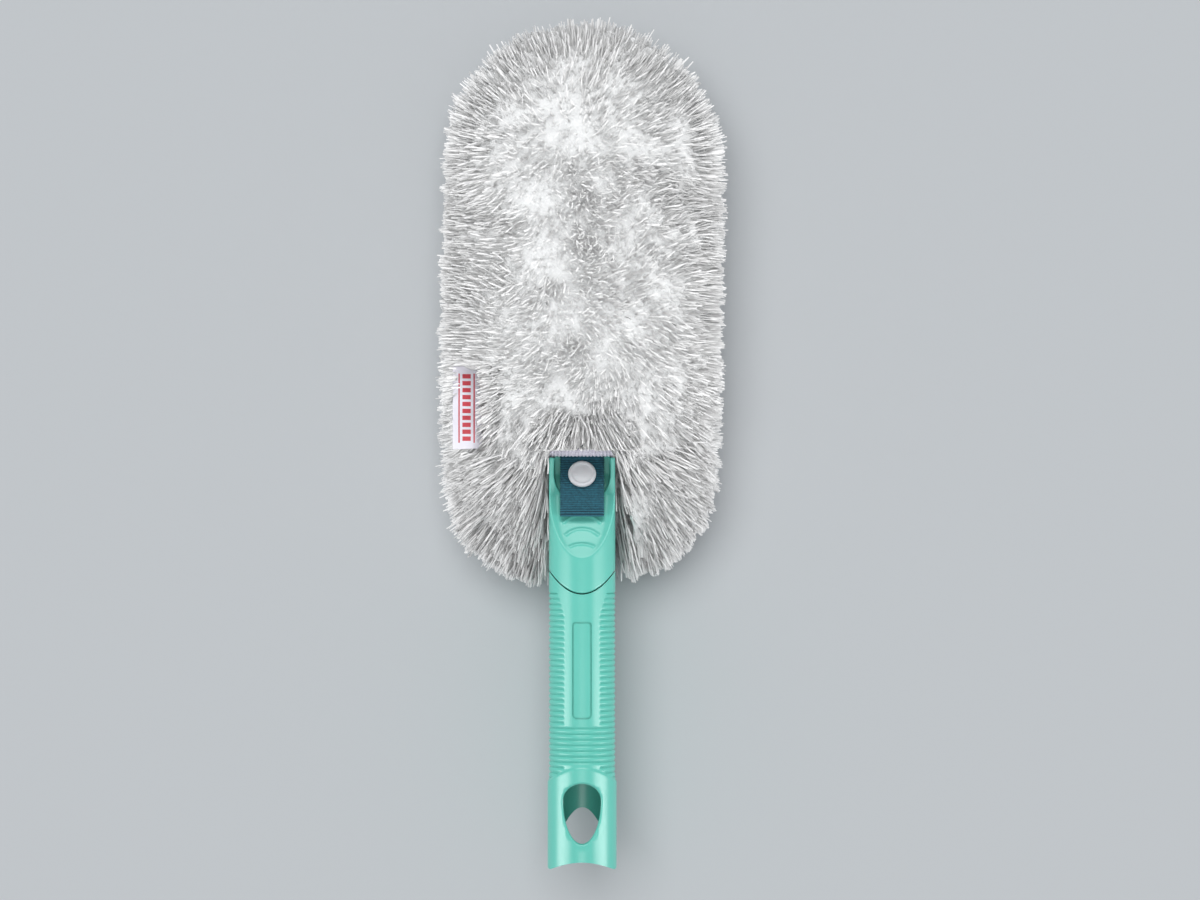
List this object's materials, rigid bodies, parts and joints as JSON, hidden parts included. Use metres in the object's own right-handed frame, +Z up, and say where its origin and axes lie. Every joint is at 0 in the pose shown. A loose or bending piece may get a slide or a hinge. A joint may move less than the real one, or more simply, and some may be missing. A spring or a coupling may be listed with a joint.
{
  "type": "microfiber duster",
  "caption": "Hand duster with a ribbed grip that takes a pole, a plug-in scooped neck, and a fluffy microfiber cover held over a flat frame by a press-stud strap.",
  "frame": {"origin": "on the surface that the duster lies on, under the middle of its bounding box", "axes": "+X to the right, +Y along the handle from the grip to the head, +Z up, out of the front of the duster, which lies on its back pile"},
  "size_m": [0.1316, 0.391, 0.0562],
  "materials": {
    "turquoise_plastic": "moulded, satin",
    "frame_plastic": "moulded, matte",
    "backing_cloth": "woven backing",
    "knit_binding": "ribbed knit",
    "label_satin": "satin ribbon",
    "microfiber_pile": "long cut pile",
    "strap_webbing": "ribbed webbing",
    "snap_plastic": "moulded, satin"
  },
  "bodies": {
    "grip": {"grip_shell": "turquoise_plastic"},
    "head": {"neck_shell": "turquoise_plastic", "paddle_frame": "frame_plastic", "snap_stud": "snap_plastic", "front_panel": "backing_cloth", "back_panel": "backing_cloth", "edge_tape": "backing_cloth", "mouth_binding": "knit_binding", "side_label": "label_satin", "pile_front": "microfiber_pile", "pile_back": "microfiber_pile", "pile_flap_left": "microfiber_pile", "pile_flap_right": "microfiber_pile"},
    "strap": {"closing_strap": "strap_webbing", "snap_cap": "snap_plastic", "snap_socket": "snap_plastic"}
  },
  "joints": [
    {"name": "neck_pull", "type": "slide", "parent": "grip", "child": "head", "axis": [0, 1, 0], "range_m": [0, 0.042]},
    {"name": "strap_lift", "type": "hinge", "parent": "head", "child": "strap", "pos_m": [0, -0.007, 0.03363], "axis": [-1, 0, 0], "range_deg": [0, 90]}
  ]
}
